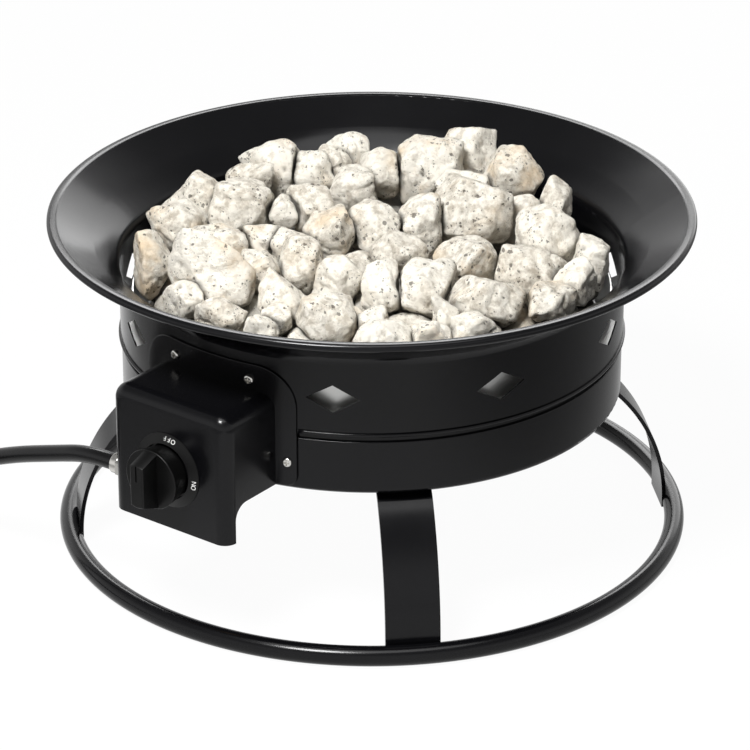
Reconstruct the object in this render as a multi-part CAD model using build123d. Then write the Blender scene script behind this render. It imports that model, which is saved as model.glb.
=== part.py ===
# A portable propane fire pit: a drum bowl with a flared rim on four strap legs and a tube ring.
# Millimetres. Origin on the floor under the bowl's axis, +Z up, legs on the X and Y axes.
# The control box faces -X -Y, half way between the front leg and the left leg.
import math
import os

import numpy as np
from build123d import *

# Driving dimensions of the bowl
rim_radius = 241.3
rim_top = 256.8
rim_bead = 3.0
shell_radius = 189.0
shell_bottom = 161.0
sheet = 1.2
flare_rise = 0.64  # height gained per unit of radius on the flare
flare_end = 234.3  # where the flare would reach the level lip
lip_bend = 4.0
flare_turn = 198.2  # where the flare turns steeper towards the neck
flare_bend = 70.0
neck_rise = 1.19
neck_bend = 10.0
bowl_radius = 188.2
bowl_bottom = 114.4
bowl_top = 175.0
bowl_corner = 5.0
slip = 1.6  # gap between the shell and the bowl's neck
groove = 4.5  # height of neck that shows under the shell
hem = (189.0, 1.5)  # the shell's rolled lower edge: ring radius, bead radius
window_width = 39.0
window_height = 21.7
window_level = 190.0
window_angles = (29.0, 66.75, 104.5, 142.25, 180.0, 217.75, 255.5, 293.25, 331.0)

# The stand
ring_radius = 232.2
ring_tube = 7.5
leg_width = 40.0
leg_sheet = 3.0
leg_sweep = 130.0
leg_spring_level = 10.0
leg_knee = 30.0
leg_foot = 2.5
leg_reach = 1.5  # how far the strap is notched over the ring
leg_tab_end = 118.0
rivet_radius = 2.9
rivet_hole = 3.0
rivet_rows = ((128.0, 0.0), (146.0, 0.0))
rivet_head = (5.0, 3.2, 2.0)  # radius at the sheet, radius at the top, height

# The burner
pan_radius = 179.5
pan_floor = 158.2
pan_top = 197.5
pan_sheet = 1.0
burner_radius = 75.0
burner_tube = 8.0
burner_level = 172.0
burner_wall = 1.2
port_count = 24
port_radius = 1.2
crossbar_radius = 6.0
crossbar_bore = 4.0
feed_mouth = 199.0
feed_radius = 8.0
feed_bore = 6.5
feed_elbow = 18.0
hub_radius = 14.0
hub_low = 163.0
hub_high = 181.0
lock_nut_corner = 13.0
lock_nut_high = 7.0

# The control box, worked out facing -Y and then turned
box_turn = -45.0
box_half_width = 53.5
box_front = 238.5
box_top = 189.0
box_low = 118.0
lip_low = 89.0
lip_back = 228.5
lip_cove = 12.0
box_sheet = 1.5
box_round = 10.0
box_crown = 12.0
flange_in = 189.2
flange_low = 118.2
flange_top = 209.7
flange_angle = 21.2
flange_corner = 30.0
flange_edge = 0.7
hem_break = 69.2  # half width of the hem's gap behind the flange
upper_screw = (10.25, 197.5)  # degrees from the box's middle, height
lower_screw = (19.0, 137.5)
screw_radius = 2.0
screw_head = 3.6
screw_head_high = 2.2

# The valve and its knob
valve_level = 135.5
knob_back = box_front + 4.0
knob_floor = 258.0  # where the finger scoops end beside the grip bar
knob_front = 273.5
knob_skirt = 20.3
knob_rim = 22.9
knob_nose = 16.3
knob_bar = 11.8
knob_hollow = 16.5
knob_boss = 7.0
stem_hold = 13.0
bezel_radius = 28.7
bezel_bore = 21.6
bezel_edge = 0.6
bezel_rise = 3.0
stem_nut_high = 2.2
stem_radius = 3.0
stem_start = 213.0
stem_collar = (4.2, 225.6, 227.0)  # radius, near end, far end
seat_ring = (5.0, 224.0, 225.5)
bonnet_radius = 5.9
bonnet_start = 228.0
valve_back = 206.0
valve_face = 230.0
valve_half = 11.0
valve_low = 108.0
valve_well = (6.0, 212.5)  # radius, floor
running = 0.08
inlet_level = 115.0
inlet_depth = 222.0
hose_nut_start = box_half_width + 0.3
hose_nut_end = 58.5

# The hose
hose_radius = 6.35
hose_length = 3050.0
ferrule_end = 65.0
coil_outer = 89.5
coil_turns = 2.9375  # in each of the two layers
coil_pitch = 13.5
tie_sheet = 1.2
coil_floor = tie_sheet + 0.05 + hose_radius
# Along the hose from the ferrule, and height
hose_route = (
    (0, 115),
    (25, 115),
    (60, 104),
    (100, 91),
    (142, 73),
    (184, 46),
    (222, 20),
    (262, coil_floor),
    (284, coil_floor),
)


def turned(shape):
    return Rot(0, 0, box_turn) * shape


def ring_of(points, rounds=()):
    # A closed outline of (radius, height) points turned about the Z axis
    face = make_face(Polyline(*points, close=True))
    for index, radius in rounds:
        corner = Vector(*points[index])
        near = sorted(face.vertices(), key=lambda v: (Vector(v.X, v.Y, v.Z) - corner).length)
        face = fillet(near[:1], radius)
    return revolve(Plane.XZ * face, Axis.Z)


def rod(radius, low, high, at=(0, 0)):
    return Pos(at[0], at[1], low) * Cylinder(radius, high - low, align=(Align.CENTER, Align.CENTER, Align.MIN))


def radial(radius, near, far, level, across=0.0):
    # A round bar along -Y, from one distance off the bowl's axis to another
    bar = Cylinder(radius, far - near, align=(Align.CENTER, Align.CENTER, Align.MIN))
    return Pos(across, -near, level) * Rot(90, 0, 0) * bar


def radial_cone(rear_radius, front_radius, near, far, level):
    bar = Cone(rear_radius, front_radius, far - near, align=(Align.CENTER, Align.CENTER, Align.MIN))
    return Pos(0, -near, level) * Rot(90, 0, 0) * bar


def radial_hex(across_flats, near, far, level):
    outline = RegularPolygon(across_flats / 2, 6, major_radius=False)
    return Pos(0, -near, level) * Rot(90, 0, 0) * extrude(outline, far - near)


def sideways(radius, start, end, depth, level):
    # A round bar towards the box's left wall, between two distances from its middle
    bar = Cylinder(radius, end - start, align=(Align.CENTER, Align.CENTER, Align.MIN))
    return Pos(-start, -depth, level) * Rot(0, -90, 0) * bar


def slab(x0, x1, near, far, z0, z1):
    return Pos(x0, -far, z0) * Box(x1 - x0, far - near, z1 - z0, align=(Align.MIN, Align.MIN, Align.MIN))


# Stand
def base_ring():
    return Pos(0, 0, ring_tube) * Torus(ring_radius, ring_tube)


def leg():
    # The strap's outer face: straight up, a long arc, a short arc, then flat under the bowl
    outer = ring_radius - ring_tube + leg_reach
    centre = (outer - leg_sweep, leg_spring_level)
    rise = bowl_bottom - leg_knee - leg_spring_level
    angle = math.asin(rise / (leg_sweep - leg_knee))
    knee = (centre[0] + (leg_sweep - leg_knee) * math.cos(angle), bowl_bottom - leg_knee)

    def on_sweep(turn, inset):
        r = leg_sweep - inset
        return centre[0] + r * math.cos(turn), centre[1] + r * math.sin(turn)

    def on_knee(turn, inset):
        r = leg_knee - inset
        return knee[0] + r * math.cos(turn), knee[1] + r * math.sin(turn)

    def side(inset):
        mid = (angle + math.pi / 2) / 2
        return (
            (outer - inset, leg_foot),
            on_sweep(0, inset),
            on_sweep(angle / 2, inset),
            on_sweep(angle, inset),
            on_knee(mid, inset),
            on_knee(math.pi / 2, inset),
            (leg_tab_end, bowl_bottom - inset),
        )

    a = side(0)
    b = side(leg_sheet)
    outline = Line(a[0], a[1]) + ThreePointArc(a[1], a[2], a[3]) + ThreePointArc(a[3], a[4], a[5])
    outline += Line(a[5], a[6]) + Line(a[6], b[6]) + Line(b[6], b[5])
    outline += ThreePointArc(b[5], b[4], b[3]) + ThreePointArc(b[3], b[2], b[1])
    outline += Line(b[1], b[0]) + Line(b[0], a[0])
    strap = extrude(Plane.XZ * make_face(outline), leg_width / 2, both=True)
    strap -= Pos(0, 0, ring_tube) * Torus(ring_radius, ring_tube + 0.1)
    inside = max(strap.solids(), key=lambda s: s.volume)
    for row in rivet_rows:
        inside -= rod(rivet_hole, bowl_bottom - leg_sheet - 1, bowl_bottom + 1, row)
    return inside


def rivet():
    low = bowl_bottom - leg_sheet
    high = bowl_bottom + sheet
    shank = rod(rivet_radius, low, high)
    for place in (Pos(0, 0, low) * Rot(180, 0, 0), Pos(0, 0, high)):
        shank += place * Cone(*rivet_head, align=(Align.CENTER, Align.CENTER, Align.MIN))
    return shank


# Bowl
def lower_bowl():
    neck = shell_radius - sheet - slip
    step = shell_bottom - groove
    points = (
        (0, bowl_bottom),
        (bowl_radius, bowl_bottom),
        (bowl_radius, step),
        (neck, step),
        (neck, bowl_top),
        (neck - sheet, bowl_top),
        (neck - sheet, step - sheet),
        (bowl_radius - sheet, step - sheet),
        (bowl_radius - sheet, bowl_bottom + sheet),
        (0, bowl_bottom + sheet),
    )
    drum = ring_of(points, ((1, bowl_corner), (2, 0.9), (8, bowl_corner - sheet)))
    drum -= turned(radial(feed_radius + 1, bowl_radius - 20, bowl_radius + 10, valve_level))
    for turn in range(0, 360, 90):
        for row in rivet_rows:
            drum -= Rot(0, 0, turn) * rod(rivet_hole, bowl_bottom - 1, bowl_bottom + sheet + 1, row)
    for side in (-1, 1):
        drum -= screw_hole(side * lower_screw[0], lower_screw[1])
    return drum


def screw_hole(angle, level):
    hole = radial(screw_radius + 0.15, flange_in - 15, flange_in + 15, level)
    return turned(Rot(0, 0, angle) * hole)


def upper_shell():
    def flare(r):
        return rim_top + flare_rise * (r - flare_end)

    def neck(r):
        return flare(flare_turn) + neck_rise * (r - flare_turn)

    inner = shell_radius - sheet
    lip = rim_radius - rim_bead
    drop = sheet * math.hypot(1, flare_rise)
    steep_drop = sheet * math.hypot(1, neck_rise)
    turn_below = flare_turn + (steep_drop - drop) / (neck_rise - flare_rise)
    end_below = flare_end + (drop - sheet) / flare_rise
    points = (
        (inner, shell_bottom),
        (shell_radius, shell_bottom),
        (shell_radius, neck(shell_radius) - steep_drop),
        (turn_below, flare(turn_below) - drop),
        (end_below, rim_top - sheet),
        (lip, rim_top - sheet),
        (lip, rim_top),
        (flare_end, rim_top),
        (flare_turn, flare(flare_turn)),
        (inner, neck(inner)),
    )
    below = ((2, neck_bend), (3, flare_bend), (4, lip_bend))
    above = ((7, lip_bend + sheet), (8, flare_bend + sheet), (9, neck_bend + sheet))
    wall = ring_of(points, below + above)
    wall += Pos(0, 0, rim_top - rim_bead) * Torus(lip, rim_bead)
    bead = Pos(0, 0, shell_bottom + hem[1]) * Torus(*hem)
    bead -= turned(slab(-hem_break, hem_break, 100, 220, shell_bottom - 5, shell_bottom + 5))
    bead -= rod(shell_radius - sheet / 2, shell_bottom - 5, shell_bottom + 5)
    wall += bead
    diamond = Polyline(
        (-window_width / 2, 0),
        (0, window_height / 2),
        (window_width / 2, 0),
        (0, -window_height / 2),
        close=True,
    )
    cutter = extrude(Plane.XZ * make_face(diamond), 30)
    cutter = Pos(0, -shell_radius + 15, window_level) * cutter
    for angle in window_angles:
        wall -= turned(Rot(0, 0, angle) * cutter)
    for side in (-1, 1):
        wall -= screw_hole(side * upper_screw[0], upper_screw[1])
    return wall


# Burner
def burner_pan():
    inner = pan_radius - pan_sheet
    ledge = shell_radius - sheet - 0.4
    hole = feed_radius + 0.3
    points = (
        (hole, pan_floor),
        (pan_radius, pan_floor),
        (pan_radius, bowl_top),
        (ledge, bowl_top),
        (ledge, bowl_top + pan_sheet),
        (pan_radius, bowl_top + pan_sheet),
        (pan_radius, pan_top),
        (inner, pan_top),
        (inner, pan_floor + pan_sheet),
        (hole, pan_floor + pan_sheet),
    )
    return ring_of(points, ((1, 4.0), (8, 3.0)))


def burner_ring():
    tube = Pos(0, 0, burner_level) * Torus(burner_radius, burner_tube)
    tube -= Pos(0, 0, burner_level) * Torus(burner_radius, burner_tube - burner_wall)
    for index in range(port_count):
        port = rod(port_radius, burner_level, burner_level + burner_tube + 1, (burner_radius, 0))
        tube -= Rot(0, 0, (index + 0.5) * 360 / port_count) * port
    for side in (0, 180):
        mouth = radial(crossbar_bore, burner_radius - 9, burner_radius - 4, burner_level)
        tube -= turned(Rot(0, 0, side) * mouth)
    return tube


def burner_crossbar():
    bar = radial(crossbar_radius, -burner_radius, burner_radius, burner_level)
    bar += rod(hub_radius, hub_low, hub_high)
    bar -= Pos(0, 0, burner_level) * Torus(burner_radius, burner_tube)
    bar = max(bar.solids(), key=lambda s: s.volume)
    bar -= radial(crossbar_bore, -burner_radius, burner_radius, burner_level)
    bar -= rod(feed_bore, hub_low - 1, burner_level)
    return turned(bar)


def gas_feed_tube():
    mouth = (0, -feed_mouth, valve_level)
    path = FilletPolyline(mouth, (0, 0, valve_level), (0, 0, hub_low), radius=feed_elbow)
    start = Plane(mouth, z_dir=(0, 1, 0))
    tube = sweep(start * Circle(feed_radius), path) - sweep(start * Circle(feed_bore), path)
    return turned(tube)


def feed_lock_nut():
    nut = Pos(0, 0, pan_floor - lock_nut_high) * extrude(RegularPolygon(lock_nut_corner, 6), lock_nut_high)
    return nut - rod(feed_radius + 0.1, pan_floor - 8, pan_floor + 1)


# Control box
def box_outline(inset, low):
    half = box_half_width - inset
    points = ((-half, low), (half, low), (half, box_top - inset), (-half, box_top - inset))
    face = make_face(Polyline(*points, close=True))
    high = [v for v in face.vertices() if v.Y > box_low]
    return fillet(high, box_crown - inset)


def box_block(inset, low, back):
    block = extrude(Plane.XZ * box_outline(inset, low), box_front - inset - back)
    block = Pos(0, -back, 0) * block
    front = block.edges().filter_by(lambda e: abs(e.center().Y + box_front - inset) < 0.01)
    front = [e for e in front if e.center().Z > low + 1]
    return fillet(front, box_round - inset)


def flange():
    half = flange_in * math.sin(math.radians(flange_angle))
    points = ((-half, flange_low), (half, flange_low), (half, flange_top), (-half, flange_top))
    face = make_face(Polyline(*points, close=True))
    face = fillet([v for v in face.vertices() if v.Y > box_low + 1], flange_corner)
    face = fillet([v for v in face.vertices() if v.Y < box_low + 1], 8)
    plate = Pos(0, -150, 0) * extrude(Plane.XZ * face, 60)
    face_radius = flange_in + box_sheet
    plate &= rod(face_radius, 100, 230) - rod(flange_in, 99, 231)

    def outside(edge):
        return all(math.hypot((edge @ t).X, (edge @ t).Y) > face_radius - 0.01 for t in (0, 0.5, 1))

    return fillet(plate.edges().filter_by(outside), flange_edge)


def control_box():
    shell = box_block(0, lip_low, 180)
    notch = Polyline((-170, 60), (-170, box_low), (-(lip_back - lip_cove), box_low)) + RadiusArc(
        (-(lip_back - lip_cove), box_low), (-lip_back, box_low - lip_cove), -lip_cove
    )
    notch += Polyline((-lip_back, box_low - lip_cove), (-lip_back, 60), (-170, 60))
    shell -= extrude(Plane.YZ * make_face(notch), 100, both=True)
    shell += flange()
    shell -= box_block(box_sheet, 60, 170)
    shell -= rod(flange_in, 50, 250)
    shell -= radial(bonnet_radius + 0.3, box_front - 10, box_front + 5, valve_level)
    shell -= sideways(6.2, box_half_width - 5, box_half_width + 2, inlet_depth, inlet_level)
    shell = turned(shell)
    for side in (-1, 1):
        shell -= screw_hole(side * upper_screw[0], upper_screw[1])
        shell -= screw_hole(side * lower_screw[0], lower_screw[1])
    return shell


def screw_places():
    return [(side * angle, level) for angle, level in (upper_screw, lower_screw) for side in (-1, 1)]


def box_screws():
    face = flange_in + box_sheet
    made = []
    for angle, level in screw_places():
        body = radial(screw_radius, face - 9, face, level)
        head = radial(screw_head, face, face + screw_head_high, level)
        rim = head.edges().filter_by(lambda e: e.center().Y < -face - 1)
        body += fillet(rim, 1.4)
        for turn in (0, 90):
            slot = Box(1.1, 3, 4.6)
            body -= Pos(0, -(face + screw_head_high), level) * Rot(0, turn, 0) * slot
        made.append(turned(Rot(0, 0, angle) * body))
    return made


def box_nuts():
    made = []
    for angle, level in screw_places():
        wall = (shell_radius if level > shell_bottom else bowl_radius) - sheet - 0.1
        nut = radial_hex(6.6, wall - 2.6, wall - 0.3, level) - radial(screw_radius + 0.1, 150, 200, level)
        made.append(turned(Rot(0, 0, angle) * nut))
    return made


def dial_bezel():
    face = box_front + bezel_edge
    ring = radial(bezel_radius, box_front, face, valve_level)
    ring += radial_cone(bezel_radius, bezel_bore, face, face + bezel_rise, valve_level)
    ring -= radial(bezel_bore, box_front - 1, box_front + 8, valve_level)
    return turned(ring)


# Valve and knob
def knob():
    body = radial_cone(knob_skirt, knob_rim, knob_back, knob_floor, valve_level)
    rim = body.edges().filter_by(lambda e: e.center().Y < -knob_floor + 0.01)
    body = fillet(rim, 0.8)
    bar = radial_cone(knob_rim - 0.8, knob_nose, knob_floor - 1, knob_front, valve_level)
    half = knob_bar / 2
    bar &= slab(-half, half, knob_floor - 1, knob_front, valve_level - knob_rim, valve_level + knob_rim)
    bar = fillet(bar.edges().filter_by(lambda e: e.center().Y < -knob_front + 0.01), 1.2)
    body += bar
    body -= radial(knob_hollow, knob_back - 1, knob_back + 5, valve_level)
    body += radial(knob_boss, knob_back + 2.4, knob_back + 6, valve_level)
    body -= radial(stem_radius, knob_back, knob_back + stem_hold, valve_level)
    pointer = slab(-0.7, 0.7, knob_front - 0.8, knob_front + 1, valve_level + 4, valve_level + knob_nose)
    return turned(body - pointer)


def valve_stem():
    stem = radial(stem_radius, stem_start, knob_back + stem_hold, valve_level)
    stem += radial(*stem_collar, valve_level)
    return turned(stem)


def spring_seat():
    return turned(radial(*seat_ring, valve_level) - radial(stem_radius + running, 223, 226, valve_level))


def return_spring():
    wire = 0.5
    coil = 4.6
    turns = 4
    near = 213.2
    far = 220.4

    def place(turn):
        angle = 2 * math.pi * turn
        along = near + (far - near) * turn / turns
        return Vector(coil * math.cos(angle), -along, valve_level + coil * math.sin(angle))

    def heading(turn):
        return (place(turn + 1e-4) - place(turn - 1e-4)).normalized()

    edges = [Line(place(0) - heading(0) * 2 * wire, place(0))]
    for index in range(4 * turns):
        a = index / 4
        b = (index + 1) / 4
        edges += biarc(place(a), heading(a), place(b), heading(b))
    edges.append(Line(place(turns), place(turns) + heading(turns) * 2 * wire))
    return turned(tube_along(Wire([e.edge() for e in edges]), wire))


def valve_body():
    block = slab(-valve_half, valve_half, valve_back, valve_face, valve_low, valve_level + valve_half)
    block = fillet(block.edges().filter_by(Axis.Y), 3)
    block -= radial(stem_radius + 0.3, valve_back + 3, valve_face + 1, valve_level)
    block -= radial(*valve_well, valve_face + 1, valve_level)
    return turned(block)


def valve_bonnet():
    plug = radial(bonnet_radius, bonnet_start, box_front + stem_nut_high, valve_level)
    plug -= radial(stem_radius + running, bonnet_start - 1, knob_back, valve_level)
    return turned(plug)


def valve_nut():
    nut = radial_hex(15.0, box_front, box_front + stem_nut_high, valve_level)
    return turned(nut - radial(bonnet_radius + 0.1, box_front - 1, box_front + 4, valve_level))


def gas_orifice():
    jet = radial_hex(9.0, valve_back - 4, valve_back, valve_level)
    jet += radial_cone(2.0, 3.5, valve_back - 10, valve_back - 4, valve_level)
    return turned(jet - radial(0.8, 190, 207, valve_level))


def inlet_pipe():
    pipe = sideways(5.5, valve_half, hose_nut_start, inlet_depth, inlet_level)
    return turned(pipe - sideways(3.0, 10, hose_nut_start + 1, inlet_depth, inlet_level))


def hose_nut():
    outline = RegularPolygon(8.0, 6, major_radius=False)
    long = hose_nut_end - hose_nut_start
    nut = Pos(-hose_nut_start, -inlet_depth, inlet_level) * Rot(0, -90, 0) * extrude(outline, long)
    return turned(nut - sideways(3.0, hose_nut_start - 1, hose_nut_end + 1, inlet_depth, inlet_level))


def hose_ferrule():
    sleeve = sideways(7.6, hose_nut_end, ferrule_end, inlet_depth, inlet_level)
    ends = sleeve.edges().filter_by(GeomType.CIRCLE)
    sleeve = fillet(ends, 0.8)
    return turned(sleeve - sideways(3.0, hose_nut_end - 1, ferrule_end + 1, inlet_depth, inlet_level))


# Hose
def tube_along(path, radius):
    start = Plane(path @ 0, z_dir=path % 0)
    return sweep(start * Circle(radius), path)


def biarc(p0, t0, p1, t1):
    # Two arcs from p0 to p1, tangent to each other and to the given directions
    v = p1 - p0
    both = t0 + t1
    bend = 2 * (1 - t0.dot(t1))
    lean = v.dot(both)
    reach = (math.sqrt(lean**2 + bend * v.dot(v)) - lean) / bend
    knot = (p0 + p1 + (t0 - t1) * reach) / 2
    first = TangentArc(p0, knot, tangent=t0)
    return [first, TangentArc(knot, p1, tangent=first % 1)]


def gas_hose():
    points = [(-ferrule_end - s, -inlet_depth, z) for s, z in hose_route]
    radii = []
    for a, b, c in zip(points, points[1:], points[2:]):
        before = Vector(*b) - Vector(*a)
        after = Vector(*c) - Vector(*b)
        half = math.radians(before.get_angle(after)) / 2
        radii.append(0.45 * min(before.length, after.length) / math.tan(half))
    path = FilletPolyline(*points, radius=radii)
    tube = tube_along(path, hose_radius)
    print("hose radii", [round(r, 1) for r in radii], "length", round(path.length, 1))
    share = tube.volume / (math.pi * hose_radius**2 * path.length)
    print("hose volume against section times length", round(share, 4))
    return turned(tube), path.length


coil_start = -ferrule_end - hose_route[-1][0] - 2 * hose_radius
coil_centre = (coil_start, -inlet_depth - coil_outer)


def coil_point(turns):
    # Spiral in, reverse and climb over half a turn, spiral out
    if turns <= coil_turns:
        radius = coil_outer - coil_pitch * turns
        climb = 0
    elif turns <= coil_turns + 0.5:
        part = (turns - coil_turns) / 0.5
        radius = coil_outer - coil_pitch * (coil_turns + 0.5 * (part - part**2))
        climb = (1 - math.cos(math.pi * part)) / 2
    else:
        radius = coil_outer - coil_pitch * (2 * coil_turns + 0.5 - turns)
        climb = 1
    angle = math.pi / 2 + 2 * math.pi * turns
    x = coil_centre[0] + radius * math.cos(angle)
    y = coil_centre[1] + radius * math.sin(angle)
    return Vector(x, y, coil_floor + climb * coil_pitch)


def coil_heading(turns):
    step = 1e-4
    return (coil_point(turns + step) - coil_point(turns - step)).normalized()


def hose_coil():
    whole = 2 * coil_turns + 0.5
    start = coil_point(0)
    end = coil_point(whole)
    way_in = Vector(-1, 0, 0)
    way_out = way_in.rotate(Axis.Z, 360 * whole)
    straight = 2 * hose_radius
    edges = [Line(start - way_in * straight, start)]
    count = round(whole / 0.25)
    step = whole / count
    for index in range(count):
        a = index * step
        b = a + step
        t0 = way_in if index == 0 else coil_heading(a)
        t1 = way_out if index == count - 1 else coil_heading(b)
        edges += biarc(coil_point(a), t0, coil_point(b), t1)
    edges.append(Line(end, end + way_out * straight))
    path = Wire([e.edge() for e in edges])
    samples = np.array([tuple(path @ (i / 2400)) for i in range(2401)])
    apart = np.linalg.norm(samples[:, None] - samples[None], axis=2)
    along = np.abs(np.subtract.outer(np.arange(2401), np.arange(2401))) * path.length / 2400
    print("coil gap to itself", round(float(apart[along > 60].min()) - 2 * hose_radius, 2))
    print("coil length", round(path.length, 1))
    return turned(tube_along(path, hose_radius)), path.length


def coil_tie():
    # A flat strap round the bundle of turns, opposite the hose's way in
    inner = coil_outer - coil_pitch * (coil_turns + 0.25) - hose_radius - 1.0
    outer = coil_outer + hose_radius + 1.0
    high = coil_floor + coil_pitch + hose_radius + 0.1
    wide = 18.0
    outside = Pos(0, 0, 0) * Box(
        wide, outer - inner + 2 * tie_sheet, high + tie_sheet, align=(Align.CENTER, Align.MIN, Align.MIN)
    )
    outside = fillet(outside.edges().filter_by(Axis.X), 4.0)
    hollow = Pos(0, tie_sheet, tie_sheet) * Box(
        wide + 2, outer - inner, high - tie_sheet, align=(Align.CENTER, Align.MIN, Align.MIN)
    )
    hollow = fillet(hollow.edges().filter_by(Axis.X), 2.8)
    place = Pos(coil_centre[0], coil_centre[1] - outer - tie_sheet, 0)
    return turned(place * (outside - hollow))


# Regulator, worked out along +X from the hose's end, with the hose's axis at height 0
ferrule_long = 24.0
regulator_away = 92.0
regulator_radius = 33.0
regulator_low = 1.5 - coil_floor - coil_pitch
regulator_split = 10.5
regulator_high = 24.0
vent_place = (regulator_away, 10.0)
port_end = regulator_away + 38.0
nipple_collar = port_end + 16.0
nipple_tip = port_end + 38.0
nipple_radius = 6.6
seal_middle = port_end + 32.2
nut_back = port_end + 7.0
nut_front = port_end + 37.0
nut_radius = 20.2
nut_socket = 16.2
nut_grooves = 16


def at_tail(shape):
    whole = 2 * coil_turns + 0.5
    heading = 180 + 360 * whole
    end = coil_point(whole)
    place = Pos(end.X, end.Y, end.Z) * Rot(0, 0, heading) * Pos(2 * hose_radius, 0, 0)
    return turned(place * shape)


def tail(radius, start, end):
    bar = Cylinder(radius, end - start, align=(Align.CENTER, Align.CENTER, Align.MIN))
    return Pos(start, 0, 0) * Rot(0, 90, 0) * bar


def coil_end_ferrule():
    sleeve = fillet(tail(7.6, 0, ferrule_long).edges().filter_by(GeomType.CIRCLE), 0.8)
    return at_tail(sleeve - tail(3.0, -1, ferrule_long + 1))


def regulator_body():
    middle = (regulator_away, 0)
    drum = rod(regulator_radius - 4, regulator_low, regulator_split - 5, middle)
    drum = fillet(drum.edges().sort_by(Axis.Z)[:1], 5)
    drum += rod(regulator_radius, regulator_split - 5, regulator_split, middle)
    drum += tail(9.5, ferrule_long, regulator_away - 8) + tail(10.0, regulator_away + 12, port_end)
    hollow = rod(regulator_radius - 7, regulator_low + 3, regulator_split + 1, middle)
    drum -= hollow - tail(12, ferrule_long, port_end)
    drum -= tail(3.0, ferrule_long - 4, port_end + 4)
    for place in regulator_screw_places():
        drum -= rod(1.6, regulator_split - 6, regulator_split + 1, place)
    return at_tail(drum)


def regulator_cover():
    middle = (regulator_away, 0)
    cap = rod(regulator_radius, regulator_split, regulator_split + 4, middle)
    dome = rod(regulator_radius - 9, regulator_split + 4, regulator_high, middle)
    cap += fillet(dome.edges().sort_by(Axis.Z)[-1:], 5)
    cap -= rod(regulator_radius - 12, regulator_split - 1, regulator_high - 3, middle)
    cap -= rod(3.1, regulator_high - 5, regulator_high + 1, vent_place)
    for place in regulator_screw_places():
        cap -= rod(1.8, regulator_split - 1, regulator_split + 5, place)
    return at_tail(cap)


def regulator_vent():
    plug = rod(3.0, regulator_high - 3, regulator_high + 1, vent_place)
    return at_tail(plug + rod(4.5, regulator_high, regulator_high + 2.5, vent_place))


def regulator_screw_places():
    ring = regulator_radius - 4.2
    places = []
    for index in range(6):
        angle = math.radians(30 + 60 * index)
        places.append((regulator_away + ring * math.cos(angle), ring * math.sin(angle)))
    return places


def regulator_screws():
    made = []
    for place in regulator_screw_places():
        screw = rod(1.5, regulator_split - 5.5, regulator_split + 4, place)
        made.append(at_tail(screw + rod(3.0, regulator_split + 4, regulator_split + 6, place)))
    return made


def tank_nipple():
    stem = tail(6.0, port_end, nipple_collar) + tail(8.6, nipple_collar, nipple_collar + 3)
    stem += tail(nipple_radius, nipple_collar + 3, nipple_tip)
    stem -= tail(nipple_radius + 1, seal_middle - 1.2, seal_middle + 1.2) - tail(5.2, port_end, nipple_tip)
    return at_tail(stem - tail(2.6, port_end - 1, nipple_tip + 1))


def nipple_seal():
    return at_tail(Pos(seal_middle, 0, 0) * Rot(0, 90, 0) * Torus(5.9, 0.65))


def hand_nut():
    nut = tail(nut_radius, nut_back, nut_front)
    nut = fillet(nut.edges().filter_by(GeomType.CIRCLE), 1.5)
    for index in range(nut_grooves):
        bar = Cylinder(2.4, 22, align=(Align.CENTER, Align.CENTER, Align.MIN))
        groove = Pos(nut_back + 4, 0, nut_radius + 1.2) * Rot(0, 90, 0) * bar
        nut -= Rot(360 / nut_grooves * index, 0, 0) * groove
    nut -= tail(nut_socket, nipple_collar + 3.3, nut_front + 5)
    nut -= tail(8.7, nipple_collar - 0.3, nipple_collar + 4)
    nut -= tail(6.0 + running, nut_back - 3, nipple_collar + 1)
    return at_tail(nut)


# Stones. Each row: left to right and near to far on the level where it is seen, half width, half height
sight_turn = -7.5
sight_level = 240.0
sight_run = 2.32  # how far back a stone seems to sit for each unit that it stands above that level
seen_stones = (
    (-164, -65, 14, 24),
    (-144, 8, 19, 19),
    (-130, 58, 20, 19),
    (-98, 43, 25, 21),
    (-95, 85, 16, 15),
    (-68, 113, 19, 25),
    (-46, 108, 20, 19),
    (-18, 143, 16, 17),
    (-13, 80, 17, 18),
    (-30, 122, 15, 15),
    (8, 113, 17, 18),
    (-50, 43, 17, 18),
    (-66, 33, 11, 12),
    (-30, -10, 19, 21),
    (2, 3, 22, 20),
    (36, 7, 17, 26),
    (42, 117, 29, 26),
    (73, 150, 20, 21),
    (107, 100, 21, 25),
    (74, 78, 18, 14),
    (78, 27, 37, 22),
    (138, 48, 12, 20),
    (128, -28, 23, 25),
    (162, -58, 14, 17),
    (113, 38, 15, 11),
    (-116, -32, 24, 16),
    (-79, -20, 16, 13),
    (-62, -30, 16, 12),
    (-51, -67, 18, 24),
    (-83, -80, 17, 14),
    (-113, -103, 34, 18),
    (-155, -145, 17, 13),
    (-113, -160, 18, 14),
    (-62, -139, 18, 12),
    (-33, -165, 23, 18),
    (-25, -100, 15, 19),
    (-12, -68, 14, 11),
    (20, -45, 20, 15),
    (8, -117, 15, 18),
    (37, -117, 20, 25),
    (73, -60, 21, 18),
    (83, -135, 32, 17),
    (115, -80, 25, 19),
    (155, -107, 17, 14),
    (138, -140, 22, 13),
    (75, -188, 17, 14),
    (52, -160, 9, 14),
    (42, -198, 14, 13),
    (8, -198, 22, 14),
    (0, -164, 12, 8),
    (-82, -190, 13, 12),
    (-68, -167, 11, 11),
)
stone_gap = 0.5
stone_corner = 1.5  # how far a stone's corners may stand past its half sizes
# Furthest from the bowl's axis
stone_limit = {"rocks_top": 181.0, "rocks_middle": pan_radius - 2, "rocks_base": pan_radius - 2}
facets = 26
# Share of its half sizes at which a stone's flats lie
stone_reach = {"rocks_top": (0.92, 1.12), "rocks_middle": (0.88, 1.05), "rocks_base": (0.8, 1.0)}


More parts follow.
